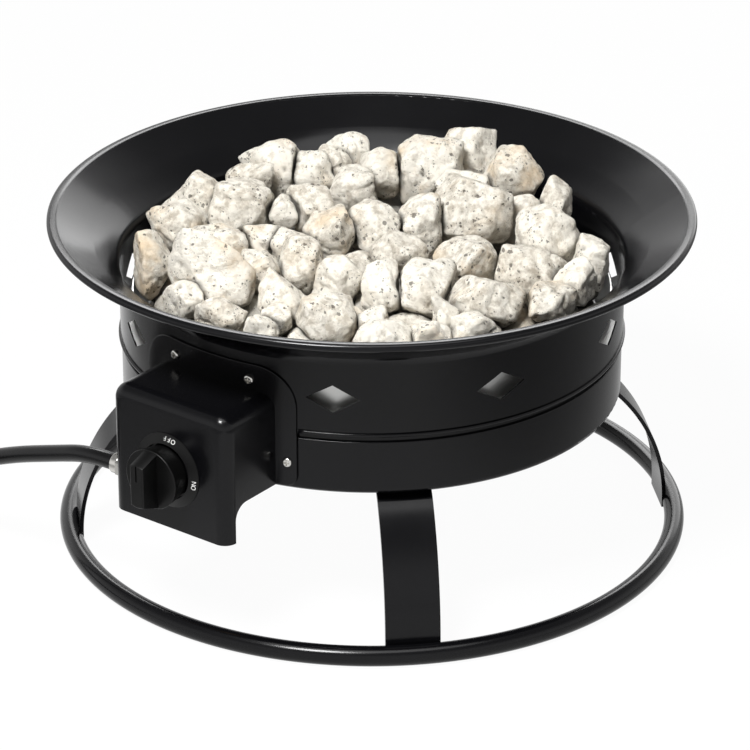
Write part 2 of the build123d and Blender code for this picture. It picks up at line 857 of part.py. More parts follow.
def stone_places():
    # Centre, half sizes and layer of every stone
    stones = []
    for x, y, wide, high in seen_stones:
        z = 238 + 0.06 * y
        back = y - sight_run * (z - sight_level)
        deep = min(24.0, max(13.0, (wide + high) / 2))
        inward = min(1.0, (stone_limit["rocks_top"] - 0.6 * min(wide, deep)) / math.hypot(x, back))
        stones.append(((x * inward, back * inward, z), (wide, deep, high), "rocks_top"))
    chance = np.random.default_rng(7)
    for ring, count in ((0, 1), (38, 6), (77, 12), (116, 18), (152, 23)):
        for index in range(count):
            angle = 2 * math.pi * (index + 0.4 * chance.random()) / count
            size = 19 + 3 * chance.random(3)
            place = (ring * math.cos(angle), ring * math.sin(angle), 204 + 4 * chance.random())
            stones.append((place, tuple(size * (1, 1, 0.8)), "rocks_middle"))
    for ring, count in ((110, 16), (149, 22)):
        for index in range(count):
            angle = 2 * math.pi * (index + 0.4 * chance.random()) / count
            size = 18 + 3 * chance.random(3)
            place = (ring * math.cos(angle), ring * math.sin(angle), 176 + 3 * chance.random())
            stones.append((place, tuple(size * (1, 1, 0.8)), "rocks_base"))
    return stones


def convex_solid(normals, offsets):
    # The solid inside every plane normal . x <= offset
    trios = np.array([(i, j, k) for i in range(len(normals)) for j in range(i) for k in range(j)])
    systems = normals[trios]
    flat = np.abs(np.linalg.det(systems)) > 1e-4
    corners = np.linalg.solve(systems[flat], offsets[trios][flat][..., None])[..., 0]
    trios = trios[flat]
    inside = (corners @ normals.T <= offsets + 1e-7).all(axis=1)
    corners = corners[inside]
    trios = trios[inside]
    faces = []
    for index, normal in enumerate(normals):
        mine = corners[(trios == index).any(axis=1)]
        kept = []
        for corner in mine:
            if all(np.linalg.norm(corner - other) > 1e-4 for other in kept):
                kept.append(corner)
        if len(kept) < 3:
            continue
        kept = np.array(kept)
        middle = kept.mean(axis=0)
        first = np.cross(normal, (0.3, 0.5, 0.81))
        first /= np.linalg.norm(first)
        second = np.cross(normal, first)
        turn = np.arctan2((kept - middle) @ second, (kept - middle) @ first)
        outline = [tuple(c) for c in kept[np.argsort(turn)]]
        faces.append(Face(Wire.make_polygon(outline, close=True)))
    return Solid(Shell(faces))


def stones_by_layer():
    stones = stone_places()
    chance = np.random.default_rng(11)
    layers = {}
    for number, (centre, half, layer) in enumerate(stones):
        centre = np.array(centre)
        half = np.array(half)
        normals = chance.normal(size=(facets, 3))
        normals /= np.linalg.norm(normals, axis=1)[:, None]
        reach = np.linalg.norm(normals * half, axis=1) * chance.uniform(*stone_reach[layer], facets)
        normals = [*normals]
        offsets = [*(np.array(normals) @ centre + reach)]
        for other, (place, size, _) in enumerate(stones):
            away = np.array(place) - centre
            gap = np.linalg.norm(away)
            if other == number or gap > 110:
                continue
            away /= gap
            mine = np.linalg.norm(away * half)
            theirs = np.linalg.norm(away * np.array(size))
            if stone_corner * (mine + theirs) > gap - stone_gap:
                normals.append(away)
                offsets.append(away @ centre + gap * mine / (mine + theirs) - stone_gap / 2)
        out = np.array((centre[0], centre[1], 0.0))
        far = np.linalg.norm(out)
        if far > 60:
            out /= far
            for swing in (-0.2, -0.1, 0.0, 0.1, 0.2):
                turn = math.atan2(out[1], out[0]) + swing
                normals.append(np.array((math.cos(turn), math.sin(turn), 0.0)))
                offsets.append(stone_limit[layer])
        if layer == "rocks_base":
            normals += [np.array((0.0, 0.0, -1.0)), -out]
            offsets += [-(pan_floor + pan_sheet + 0.4), -(burner_radius + burner_tube + 4)]
        solid = convex_solid(np.array(normals), np.array(offsets))
        layers.setdefault(layer, []).append(Rot(0, 0, sight_turn) * solid)
    return layers


def main():
    parts = {"base_ring": base_ring()}
    strap = leg()
    for name, turn in (("leg_right", 0), ("leg_back", 90), ("leg_left", 180), ("leg_front", 270)):
        parts[name] = Rot(0, 0, turn) * strap
    one = rivet()
    places = [(turn, row) for turn in range(0, 360, 90) for row in rivet_rows]
    parts["leg_rivets"] = [Rot(0, 0, turn) * Pos(row[0], row[1], 0) * one for turn, row in places]
    parts["lower_bowl"] = lower_bowl()
    parts["upper_shell"] = upper_shell()
    parts["burner_pan"] = burner_pan()
    parts["burner_ring"] = burner_ring()
    parts["burner_crossbar"] = burner_crossbar()
    parts["gas_feed_tube"] = gas_feed_tube()
    parts["feed_lock_nut"] = feed_lock_nut()
    parts.update(stones_by_layer())
    parts["control_box"] = control_box()
    parts["box_screws"] = box_screws()
    parts["box_nuts"] = box_nuts()
    parts["dial_bezel"] = dial_bezel()
    parts["knob"] = knob()
    parts["valve_stem"] = valve_stem()
    parts["spring_seat"] = spring_seat()
    parts["return_spring"] = return_spring()
    parts["valve_body"] = valve_body()
    parts["valve_bonnet"] = valve_bonnet()
    parts["valve_nut"] = valve_nut()
    parts["gas_orifice"] = gas_orifice()
    parts["inlet_pipe"] = inlet_pipe()
    parts["hose_nut"] = hose_nut()
    parts["hose_ferrule"] = hose_ferrule()
    parts["gas_hose"], free_length = gas_hose()
    parts["hose_coil"], coil_length = hose_coil()
    print("whole hose", round(free_length + coil_length, 1), "wanted", hose_length)
    parts["coil_tie"] = coil_tie()
    parts["coil_end_ferrule"] = coil_end_ferrule()
    parts["regulator_body"] = regulator_body()
    parts["regulator_cover"] = regulator_cover()
    parts["regulator_screws"] = regulator_screws()
    parts["regulator_vent"] = regulator_vent()
    parts["tank_nipple"] = tank_nipple()
    parts["nipple_seal"] = nipple_seal()
    parts["hand_nut"] = hand_nut()
    os.makedirs("parts", exist_ok=True)
    for name, shape in parts.items():
        if isinstance(shape, list):
            solids = [s for item in shape for s in item.solids()]
        else:
            solids = shape.solids()
        export_step(Compound(children=solids) if len(solids) > 1 else solids[0], f"parts/{name}.step")


main()
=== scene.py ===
# Propane fire pit: finishes, hose, stones, rolled edges, dial marks, floor, lights and camera
import math

import bmesh
import bpy
import numpy as np
from mathutils import Matrix, Vector, noise


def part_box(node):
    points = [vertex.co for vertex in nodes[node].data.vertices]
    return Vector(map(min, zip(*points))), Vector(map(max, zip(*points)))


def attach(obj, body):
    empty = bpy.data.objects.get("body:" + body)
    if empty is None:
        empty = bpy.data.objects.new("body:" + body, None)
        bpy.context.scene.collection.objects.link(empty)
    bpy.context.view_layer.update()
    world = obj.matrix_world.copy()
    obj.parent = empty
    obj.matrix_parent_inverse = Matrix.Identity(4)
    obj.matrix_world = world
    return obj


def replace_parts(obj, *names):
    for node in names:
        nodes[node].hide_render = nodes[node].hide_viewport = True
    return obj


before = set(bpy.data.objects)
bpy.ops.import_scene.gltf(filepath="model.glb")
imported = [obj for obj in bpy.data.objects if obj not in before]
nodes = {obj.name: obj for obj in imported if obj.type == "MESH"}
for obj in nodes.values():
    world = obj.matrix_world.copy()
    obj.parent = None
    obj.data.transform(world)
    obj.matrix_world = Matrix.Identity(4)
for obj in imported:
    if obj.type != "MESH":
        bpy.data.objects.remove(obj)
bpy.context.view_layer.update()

scene = bpy.context.scene
mm = 0.001
weld = 0.001 * mm  # points nearer than this are merged after a spin
noiseSpread = {"From Min": 0.3, "From Max": 0.7}  # the part of a noise that fills a roughness range
print("frame loaded,", len(nodes), "nodes")


def hexColor(text):
    values = []
    for at in (1, 3, 5):
        part = int(text[at:at + 2], 16) / 255
        values.append(part / 12.92 if part <= 0.04045 else ((part + 0.055) / 1.055) ** 2.4)
    return (*values, 1.0)


def perMm(size):
    return 1.0 / (size * mm)  # texture scale for a pattern of that size in millimetres


def addNode(tree, kind, inputs=None, **settings):
    made = tree.nodes.new("ShaderNode" + kind)
    for name, value in settings.items():
        setattr(made, name, value)
    for socket, value in (inputs or {}).items():
        if isinstance(value, bpy.types.NodeSocket):
            tree.links.new(value, made.inputs[socket])
        else:
            made.inputs[socket].default_value = value
    return made


def startMaterial(name):
    material = bpy.data.materials.new(name)
    material.use_nodes = True
    tree = material.node_tree
    tree.nodes.clear()
    place = addNode(tree, "TexCoord").outputs["Object"]
    return material, tree, place


def endMaterial(tree, shaderInputs):
    shader = addNode(tree, "BsdfPrincipled", shaderInputs)
    addNode(tree, "OutputMaterial", {"Surface": shader.outputs[0]})


def toned(color, share):
    return [c * share for c in hexColor(color)[:3]] + [1.0]


def newPiece(name, bm, material, body="root"):
    mesh = bpy.data.meshes.new(name)
    bm.to_mesh(mesh)
    bm.free()
    piece = bpy.data.objects.new(name, mesh)
    scene.collection.objects.link(piece)
    mesh.materials.append(material)
    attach(piece, body)
    return piece


# Camera at the photograph's viewing angle
cameraView = {
    "place": (-0.34816, -2.64453, 1.39116),
    "turn": (64.52, 0.0, -7.55),
    "lens": 187.03,
    "sensor": 36.0,
}
cameraData = bpy.data.cameras.new("camera")
cameraData.lens = cameraView["lens"]
cameraData.sensor_width = cameraView["sensor"]
camera = bpy.data.objects.new("camera", cameraData)
camera.location = cameraView["place"]
camera.rotation_euler = [math.radians(a) for a in cameraView["turn"]]
scene.collection.objects.link(camera)
scene.camera = camera

# The control box faces -X -Y: across is to a viewer's right, out is towards the viewer
across = Vector((1, -1, 0)).normalized()
out = Vector((-1, -1, 0)).normalized()
up = Vector((0, 0, 1))


# Powder coat on steel: black and glossy, with a faint orange peel; sizes in millimetres
enamel = {
    "color": "#08080a",
    "roughness": (0.16, 0.22),
    "specular": 0.22,
    "patch": 60.0,
    "peel": 2.4,
    "peelDeep": 0.2,
    "bump": 0.018,
}


def powderCoat():
    material, tree, place = startMaterial("blackPowderCoat")
    patch = addNode(tree, "TexNoise", {"Vector": place, "Scale": perMm(enamel["patch"]), "Detail": 3.0})
    rough = addNode(tree, "MapRange", {
        "Value": patch.outputs["Fac"], **noiseSpread,
        "To Min": enamel["roughness"][0], "To Max": enamel["roughness"][1]})
    peel = addNode(tree, "TexNoise", {"Vector": place, "Scale": perMm(enamel["peel"]), "Detail": 2.0})
    bump = addNode(tree, "Bump", {
        "Height": peel.outputs["Fac"], "Strength": enamel["bump"], "Distance": enamel["peelDeep"] * mm})
    endMaterial(tree, {
        "Base Color": hexColor(enamel["color"]), "Roughness": rough.outputs[0],
        "Specular IOR Level": enamel["specular"], "Normal": bump.outputs[0]})
    return material


# Metals: bright where plated, dull where cast or galvanised, with a light grain; sizes in millimetres
metals = {
    "galvanisedPan": {"color": "#c9c9c7", "roughness": (0.32, 0.5), "grain": 30.0, "bump": 0.05},
    "burnerSteel": {"color": "#9c9a96", "roughness": (0.3, 0.45), "grain": 6.0, "bump": 0.05},
    "nickelPlate": {"color": "#d8d6d1", "roughness": (0.14, 0.24), "grain": 2.0, "bump": 0.03},
    "valveBrass": {"color": "#c8a15a", "roughness": (0.25, 0.4), "grain": 3.0, "bump": 0.05},
    "springSteel": {"color": "#a6a6a8", "roughness": (0.25, 0.35), "grain": 2.0, "bump": 0.03},
    "castZinc": {"color": "#a9aaac", "roughness": (0.38, 0.55), "grain": 1.6, "bump": 0.18},
}
metalGrain = {"dark": 0.8, "deep": 0.2}


def metalFinish(name):
    look = metals[name]
    material, tree, place = startMaterial(name)
    grain = addNode(tree, "TexNoise", {
        "Vector": place, "Scale": perMm(look["grain"]), "Detail": 5.0}).outputs["Fac"]
    rough = addNode(tree, "MapRange", {
        "Value": grain, **noiseSpread, "To Min": look["roughness"][0], "To Max": look["roughness"][1]})
    tone = addNode(tree, "Mix", {
        "Factor": grain, "A": toned(look["color"], metalGrain["dark"]), "B": hexColor(look["color"])},
        data_type="RGBA")
    bump = addNode(tree, "Bump", {
        "Height": grain, "Strength": look["bump"], "Distance": metalGrain["deep"] * mm})
    endMaterial(tree, {
        "Base Color": tone.outputs["Result"], "Metallic": 1.0,
        "Roughness": rough.outputs[0], "Normal": bump.outputs[0]})
    return material


# Moulded plastics and rubber: dark, with a fine spark texture and a dull bloom; sizes in millimetres
moulded = {
    "blackMoulding": {
        "color": "#070707", "roughness": (0.28, 0.38), "spark": 0.5, "bump": 0.08, "specular": 0.2},
    "hoseRubber": {
        "color": "#070708", "roughness": (0.2, 0.28), "spark": 1.2, "bump": 0.04, "specular": 0.3},
    "ventPlastic": {
        "color": "#2a2b2d", "roughness": (0.45, 0.55), "spark": 0.6, "bump": 0.1, "specular": 0.4},
    "sealRubber": {
        "color": "#171716", "roughness": (0.5, 0.6), "spark": 0.5, "bump": 0.05, "specular": 0.4},
    "nutPlastic": {
        "color": "#121312", "roughness": (0.38, 0.5), "spark": 0.6, "bump": 0.12, "specular": 0.45},
}
mouldedSkin = {"bloom": 18.0, "dark": 0.7, "light": 1.3, "deep": 0.15}


def mouldedFinish(name):
    look = moulded[name]
    material, tree, place = startMaterial(name)
    spark = addNode(tree, "TexNoise", {"Vector": place, "Scale": perMm(look["spark"]), "Detail": 2.0})
    bloom = addNode(tree, "TexNoise", {
        "Vector": place, "Scale": perMm(mouldedSkin["bloom"]), "Detail": 4.0}).outputs["Fac"]
    rough = addNode(tree, "MapRange", {
        "Value": bloom, **noiseSpread, "To Min": look["roughness"][0], "To Max": look["roughness"][1]})
    tone = addNode(tree, "Mix", {
        "Factor": bloom, "A": toned(look["color"], mouldedSkin["dark"]),
        "B": toned(look["color"], mouldedSkin["light"])}, data_type="RGBA")
    bump = addNode(tree, "Bump", {
        "Height": spark.outputs["Fac"], "Strength": look["bump"], "Distance": mouldedSkin["deep"] * mm})
    endMaterial(tree, {
        "Base Color": tone.outputs["Result"], "Roughness": rough.outputs[0],
        "Specular IOR Level": look["specular"], "Normal": bump.outputs[0]})
    return material


# Hook and loop webbing: matt black with a fine pile; sizes in millimetres
webbing = {
    "color": "#141415",
    "tip": "#2c2c2e",
    "pile": 0.9,
    "pileDeep": 0.3,
    "bump": 0.5,
    "roughness": 0.9,
    "sheen": 0.3,
}


def tieWebbing():
    material, tree, place = startMaterial("hookAndLoopWebbing")
    cells = addNode(tree, "TexVoronoi", {"Vector": place, "Scale": perMm(webbing["pile"])})
    pile = cells.outputs["Distance"]
    tone = addNode(tree, "Mix", {
        "Factor": pile, "A": hexColor(webbing["color"]), "B": hexColor(webbing["tip"])}, data_type="RGBA")
    bump = addNode(tree, "Bump", {
        "Height": pile, "Strength": webbing["bump"], "Distance": webbing["pileDeep"] * mm})
    endMaterial(tree, {
        "Base Color": tone.outputs["Result"], "Roughness": webbing["roughness"],
        "Sheen Weight": webbing["sheen"], "Normal": bump.outputs[0]})
    return material


# Printed marks: opaque white ink, slightly uneven; wear in millimetres
ink = {"worn": "#c4c4c2", "full": "#f2f2f0", "wear": 1.2, "roughness": 0.5}


def whiteInk():
    material, tree, place = startMaterial("whiteInk")
    wear = addNode(tree, "TexNoise", {"Vector": place, "Scale": perMm(ink["wear"]), "Detail": 3.0})
    tone = addNode(tree, "Mix", {
        "Factor": wear.outputs["Fac"], "A": hexColor(ink["worn"]), "B": hexColor(ink["full"])},
        data_type="RGBA")
    endMaterial(tree, {"Base Color": tone.outputs["Result"], "Roughness": ink["roughness"]})
    return material


# Pumice: cream volcanic stone, chalky and dull, mottled grey, with ragged gas pores and tan patches;
# pores and pits are drawn dark as painted shade
pumice = {
    "chalk": "#f7f2e6",
    "grey": "#beb5a6",
    "tan": "#e6cba4",
    # painted shade colour, laid in the pores and gas pits
    "poreShade": "#3c342a",
    # painted shade colour, laid in the gaps between stones and deep in the pile
    "gap": "#120f0b",
    "clouds": {  # size in millimetres, detail, roughness
        "patch": (34.0, 4.0, 0.6),
        "drift": (15.0, 3.0, 0.55),
        "mottle": (6.0, 5.0, 0.65),
        "rough": (3.0, 5.0, 0.65),
        "grain": (0.8, 3.0, 0.7),
        "ragged": (1.6, 2.0, 0.6),
    },
    "light": {"From Min": 0.36, "From Max": 0.58, "To Min": -0.5, "To Max": 0.4},
    "warm": {"From Min": 0.5, "From Max": 0.7, "To Min": 0.0, "To Max": 0.75},
    "porePick": {"From Min": 0.25, "From Max": 1.0, "To Min": 0.0, "To Max": 1.3},
    "poreEdge": {"From Min": 0.0, "From Max": 0.06, "To Min": 0.0, "To Max": 1.0},
    "poreDrift": {"From Min": 0.38, "From Max": 0.62, "To Min": 0.06},
    "poreSets": ((4.6, 0.36), (1.9, 0.34)),  # cell size in millimetres, widest share where pores drift
    "raggedShift": 2.6,  # millimetres
    # how dark the painted shade in the pores gets
    "poreShadeStrength": 0.7,
    "poreLow": -0.8,
    "grainHigh": 0.6,
    "bump": 0.8,
    "bumpDeep": 2.6,  # millimetres
    "roughness": 0.95,
    "specular": 0.15,
}


def pumiceStone():
    material, tree, place = startMaterial("creamPumice")
    tint = addNode(tree, "Attribute", attribute_name="stoneTint")
    shade = addNode(tree, "Attribute", attribute_name="stoneShade")
    split = addNode(tree, "SeparateColor", {"Color": tint.outputs["Color"]})

    clouds = {}
    for name, (size, detail, roughness) in pumice["clouds"].items():
        clouds[name] = addNode(tree, "TexNoise", {
            "Vector": place, "Scale": perMm(size), "Detail": detail, "Roughness": roughness})
    mottled = addNode(tree, "MapRange", {"Value": clouds["mottle"].outputs["Fac"], **pumice["light"]})
    light = addNode(tree, "Math", {0: mottled.outputs[0], 1: split.outputs["Red"]}, operation="ADD")
    patched = addNode(tree, "MapRange", {"Value": clouds["patch"].outputs["Fac"], **pumice["warm"]})
    warm = addNode(tree, "Math", {0: patched.outputs[0], 1: split.outputs["Green"]}, operation="MULTIPLY")
    shift = addNode(tree, "VectorMath", {
        0: clouds["ragged"].outputs["Color"], 1: [pumice["raggedShift"] * mm] * 3, 2: place},
        operation="MULTIPLY_ADD")
    poreSets = []
    for size, share in pumice["poreSets"]:
        cells = addNode(tree, "TexVoronoi", {"Vector": shift.outputs[0], "Scale": perMm(size)})
        pick = addNode(tree, "SeparateColor", {"Color": cells.outputs["Color"]})
        picked = addNode(tree, "MapRange", {"Value": pick.outputs["Red"], **pumice["porePick"]})
        widest = addNode(tree, "MapRange", {
            "Value": clouds["drift"].outputs["Fac"], **pumice["poreDrift"], "To Max": share})
        wide = addNode(tree, "Math", {0: widest.outputs[0], 1: picked.outputs[0]}, operation="MULTIPLY")
        inside = addNode(tree, "Math", {
            0: wide.outputs[0], 1: cells.outputs["Distance"]}, operation="SUBTRACT")
        edge = addNode(tree, "MapRange", {"Value": inside.outputs[0], **pumice["poreEdge"]})
        poreSets.append(edge.outputs[0])
    pores = addNode(tree, "Math", {0: poreSets[0], 1: poreSets[1]}, operation="MAXIMUM").outputs[0]
    # Pores and gas pits are drawn dark: painted shade in the holes
    dark = addNode(tree, "Math", {0: pores, 1: pumice["poreShadeStrength"]}, operation="MULTIPLY")
    deep = addNode(tree, "Math", {0: dark.outputs[0], 1: split.outputs["Blue"]}, operation="MAXIMUM")
    # Over the grey: chalk and tan as the stone's own tone, then the painted shade of pores, pits and gaps
    tone = hexColor(pumice["grey"])
    layers = (("chalk", light.outputs[0]), ("tan", warm.outputs[0]),
              ("poreShade", deep.outputs[0]), ("gap", shade.outputs["Fac"]))
    for color, share in layers:
        mix = addNode(tree, "Mix", {
            "Factor": share, "A": tone, "B": hexColor(pumice[color])}, data_type="RGBA")
        tone = mix.outputs["Result"]
    pitted = addNode(tree, "Math", {
        0: pores, 1: pumice["poreLow"], 2: clouds["rough"].outputs["Fac"]}, operation="MULTIPLY_ADD")
    height = addNode(tree, "Math", {
        0: clouds["grain"].outputs["Fac"], 1: pumice["grainHigh"], 2: pitted.outputs[0]},
        operation="MULTIPLY_ADD")
    bump = addNode(tree, "Bump", {
        "Height": height.outputs[0], "Strength": pumice["bump"], "Distance": pumice["bumpDeep"] * mm})
    endMaterial(tree, {
        "Base Color": tone, "Roughness": pumice["roughness"],
        "Specular IOR Level": pumice["specular"], "Normal": bump.outputs[0]})
    return material


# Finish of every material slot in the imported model
finishes = {
    "black_enamel": powderCoat(),
    "pan_steel": metalFinish("galvanisedPan"),
    "burner_steel": metalFinish("burnerSteel"),
    "lava_stone": pumiceStone(),
    "nickel_plate": metalFinish("nickelPlate"),
    "black_moulding": mouldedFinish("blackMoulding"),
    "valve_brass": metalFinish("valveBrass"),
    "spring_steel": metalFinish("springSteel"),
    "hose_rubber": mouldedFinish("hoseRubber"),
    "tie_webbing": tieWebbing(),
    "regulator_zinc": metalFinish("castZinc"),
    "vent_plastic": mouldedFinish("ventPlastic"),
    "seal_rubber": mouldedFinish("sealRubber"),
    "nut_plastic": mouldedFinish("nutPlastic"),
}
for name, node in nodes.items():
    for slot in node.material_slots:
        slotName = slot.material.name.split(".")[0]
        if slotName in finishes:
            slot.material = finishes[slotName]
        else:
            print("no finish for", name, slotName)
print("finishes set on", len(nodes), "nodes")


# Gas hose: out of its ferrule, down to the floor, then a coil of two layers; sizes in millimetres
hose = {
    "radius": 6.35,
    "length": 3.05,  # metres
    "start": (-65.0, -222.0),  # left along the box and out from the axis, in the box's own directions
    "route": (  # how far along to the left, and height
        (0, 115), (25, 115), (60, 104), (100, 91), (142, 73),
        (184, 46), (222, 20), (262, 7.6), (284, 7.6)),
    "coilOuter": 89.5,
    "coilTurns": 2.9375,  # in each layer
    "crossing": 0.5,  # turns that it takes from the lower layer to the upper one
    "pitch": 13.5,
    "floor": 7.6,
    "pointsPerTurn": 16,
    "straight": 12.7,
    "stepsPerPoint": 10,
    "roundness": 6,
    "boxTurn": -45.0,  # degrees from the box's own directions to its place
}


def boxPoint(x, y, z):
    # A point given in the box's own directions, turned to its place, in metres
    return (Matrix.Rotation(math.radians(hose["boxTurn"]), 3, "Z") @ Vector((x, y, z))) * mm


def coilPoint(turns):
    # A spline of order 3 weighs a point 0.75 and its neighbours 0.25, so it runs inside points on a
    # circle: pull moves them out by that share
    layer = hose["coilTurns"]
    crossing = hose["crossing"]
    pull = 1 / (0.75 + 0.25 * math.cos(2 * math.pi / hose["pointsPerTurn"]))
    if turns <= layer:
        radius = hose["coilOuter"] - hose["pitch"] * turns
        climb = 0
    elif turns <= layer + crossing:
        part = (turns - layer) / crossing
        radius = hose["coilOuter"] - hose["pitch"] * (layer + crossing * (part - part ** 2))
        climb = (1 - math.cos(math.pi * part)) / 2
    else:
        radius = hose["coilOuter"] - hose["pitch"] * (2 * layer + crossing - turns)
        climb = 1
    angle = math.pi / 2 + 2 * math.pi * turns
    startX = hose["start"][0] - hose["route"][-1][0] - hose["straight"]
    centre = (startX, hose["start"][1] - hose["coilOuter"])
    x = centre[0] + pull * radius * math.cos(angle)
    y = centre[1] + pull * radius * math.sin(angle)
    return boxPoint(x, y, hose["floor"] + climb * hose["pitch"])


def gasHose():
    points = [boxPoint(hose["start"][0] - along, hose["start"][1], z) for along, z in hose["route"]]
    whole = 2 * hose["coilTurns"] + hose["crossing"]
    count = round(whole * hose["pointsPerTurn"])
    points += [coilPoint(whole * (i + 0.5) / count) for i in range(count)]
    low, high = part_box("coil_end_ferrule")
    mouth = Vector(((low.x + high.x) / 2, high.y, (low.z + high.z) / 2))
    points += [mouth + Vector((0, hose["straight"] * mm, 0)), mouth]
    curve = bpy.data.curves.new("gasHose", "CURVE")
    curve.dimensions = "3D"
    spline = curve.splines.new("NURBS")
    spline.points.add(len(points) - 1)
    for target, point in zip(spline.points, points):
        target.co = (*point, 1.0)
    spline.order_u = 3
    spline.use_endpoint_u = True
    curve.resolution_u = hose["stepsPerPoint"]
    curve.bevel_depth = hose["radius"] * mm
    curve.bevel_resolution = hose["roundness"]
    curve.use_fill_caps = True
    piece = bpy.data.objects.new("gasHose", curve)
    scene.collection.objects.link(piece)
    curve.materials.append(finishes["hose_rubber"])
    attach(piece, "root")
    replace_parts(piece, "gas_hose", "hose_coil")
    return piece


gasHose()
print("hose laid")


# Stones: each packed stone's flats are rounded off, then lumps, creases and gas pits are pressed in.
# Painted shade goes into the pits, the gaps between stones and deep in the pile. Sizes are in millimetres
stones = {
    "layers": {"rocks_top": 0, "rocks_middle": 100, "rocks_base": 200},  # number of the first stone
    "detail": {"rocks_top": 5, "rocks_middle": 4, "rocks_base": 4},
    "firstSeed": 100,
    "seedReach": 400,  # how far a stone's patterns are shifted at most
    "light": (0.45, 1.0),  # tint of a stone, least and most
    "warmCurve": 1.5,
    "weld": 0.01,
    "sameFlat": (200, 5),  # steps of a normal and steps per millimetre that tell two flats apart
    "leastApart": 2.0,  # from a stone's centre to a flat
    "rounding": 26.0,
    "sink": 0.2,
    "lump": (18.0, 2.5),  # size and depth
    "crease": (17.0, 1.3),
    "creaseSharp": 3.2,
    "knob": (6.0, 0.9),
    "pitCell": 12.0,
    "pitPick": 7.31,  # spreads the cells' places before the draw
    "pitShare": 0.35,
    "pitLeast": 0.35,
    "pitWide": 0.42,
    "pitDeep": 2.4,
    # how much painted shade a gas pit gets in its colour
    "pitShade": 0.75,
    "neighbour": 110.0,  # stones with centres further apart don't shade each other
    "gapReach": 4.5,  # how far the painted shade of a gap between two stones reaches
    # how dark the painted shade in a gap gets
    "gapShadeStrength": 0.88,
    "pileTop": (238.0, 0.06),  # height at the middle and rise per unit towards the back
    "pileFade": (2.0, 44.0),  # depth below the tops where the pile's painted shade begins and where it is full, as light falls off
    # how dark the painted shade deep in the pile gets
    "pileShadeStrength": 0.9,
}


def stoneFlats(node):
    # Centre, plane normals and plane distances of every stone in a node
    normalSteps, apartSteps = stones["sameFlat"]
    bm = bmesh.new()
    bm.from_mesh(nodes[node].data)
    bmesh.ops.remove_doubles(bm, verts=bm.verts, dist=stones["weld"] * mm)
    seen = set()
    found = []
    for start in bm.verts:
        if start in seen:
            continue
        island = [start]
        seen.add(start)
        for vert in island:
            for edge in vert.link_edges:
                other = edge.other_vert(vert)
                if other not in seen:
                    seen.add(other)
                    island.append(other)
        # Each face once, in a fixed order, so that every run gives the same stones
        faces = list(dict.fromkeys(face for vert in island for face in vert.link_faces))
        area = sum(face.calc_area() for face in faces)
        centre = sum((f.calc_center_median() * f.calc_area() for f in faces), Vector()) / area
        normals = np.array([f.normal for f in faces])
        apart = np.array([(f.calc_center_median() - centre).dot(f.normal) for f in faces])
        keys = np.round(np.column_stack((normals * normalSteps, apart / mm * apartSteps))).astype(int)
        single = np.unique(keys, axis=0, return_index=True)[1]
        found.append((centre, normals[single], np.maximum(apart[single], stones["leastApart"] * mm)))
    bm.free()
    return sorted(found, key=lambda s: tuple(s[0]))


def pressIn(point, seed):
    # Depth in millimetres that the surface moves at a point, and how deep in a gas pit it is
    at = point / mm + seed
    size, depth = stones["lump"]
    move = noise.noise(at / size) * depth
    size, depth = stones["crease"]
    move -= (1 - min(1.0, abs(noise.noise(at / size)) * stones["creaseSharp"])) ** 2 * depth
    size, depth = stones["knob"]
    move += noise.noise(at / size) * depth
    away, cells = noise.voronoi(at / stones["pitCell"])
    pick = abs(noise.cell(cells[0] * stones["pitPick"]))
    pit = 0.0
    if pick < stones["pitShare"]:
        wide = stones["pitWide"] * (stones["pitLeast"] + pick)
        pit = max(0.0, 1 - away[0] / wide)
        pit = pit * pit * (3 - 2 * pit)
    return move - pit * stones["pitDeep"], pit


def gapShade(points, number, pile):
    # Painted shade on every point of a stone: in a gap near a neighbour, or deep in the pile
    low, high = stones["pileFade"]
    level, rise = stones["pileTop"]
    depth = level + rise * points[:, 1] / mm - points[:, 2] / mm
    deep = np.clip((depth - low) / (high - low), 0, 1)
    centre = np.array(pile[number][0])
    nearest = np.full(len(points), 1.0)  # a metre, further than any neighbour
    for other, (place, normals, apart) in pile.items():
        if other != number and np.linalg.norm(np.array(place) - centre) < stones["neighbour"] * mm:
            facing = (points - np.array(place)) @ normals.T - apart
            nearest = np.minimum(nearest, facing.max(axis=1))
    near = np.clip(1 - nearest / (stones["gapReach"] * mm), 0, 1) ** 2
    return 1 - (1 - stones["gapShadeStrength"] * near) * (1 - stones["pileShadeStrength"] * deep)


def stonePile(name, node, numbers, pile):
    bm = bmesh.new()
    tintLayer = bm.verts.layers.float_color.new("stoneTint")
    shadeLayer = bm.verts.layers.float.new("stoneShade")
    for number in numbers:
        centre, normals, apart = pile[number]
        chance = np.random.default_rng(stones["firstSeed"] + number)
        seed = Vector(chance.uniform(-stones["seedReach"], stones["seedReach"], 3))
        light = chance.uniform(*stones["light"])
        warm = chance.uniform(0.0, 1.0) ** stones["warmCurve"]
        ball = bmesh.ops.create_icosphere(bm, subdivisions=stones["detail"][node], radius=1.0)
        made = ball["verts"]
        ways = np.array([v.co for v in made])
        facing = np.maximum(ways @ normals.T, 0.0) / apart
        reach = (facing ** stones["rounding"]).sum(axis=1) ** (-1 / stones["rounding"])
        # Painted shade from the gaps and from the depth in the pile, kept on every point
        dark = gapShade(np.array(centre) + ways * reach[:, None], number, pile)
        for vert, way, far, shade in zip(made, ways, reach, dark):
            point = centre + Vector(way * far)
            move, pit = pressIn(point, seed)
            vert.co = point + Vector(way) * (move - stones["sink"]) * mm
            # Red and green tint the stone; blue carries the painted shade of a gas pit
            vert[tintLayer] = (light, warm, stones["pitShade"] * pit, 1.0)
            vert[shadeLayer] = shade
    for face in bm.faces:
        face.smooth = True
    piece = newPiece(name, bm, finishes["lava_stone"])
    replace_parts(piece, node)
    return piece


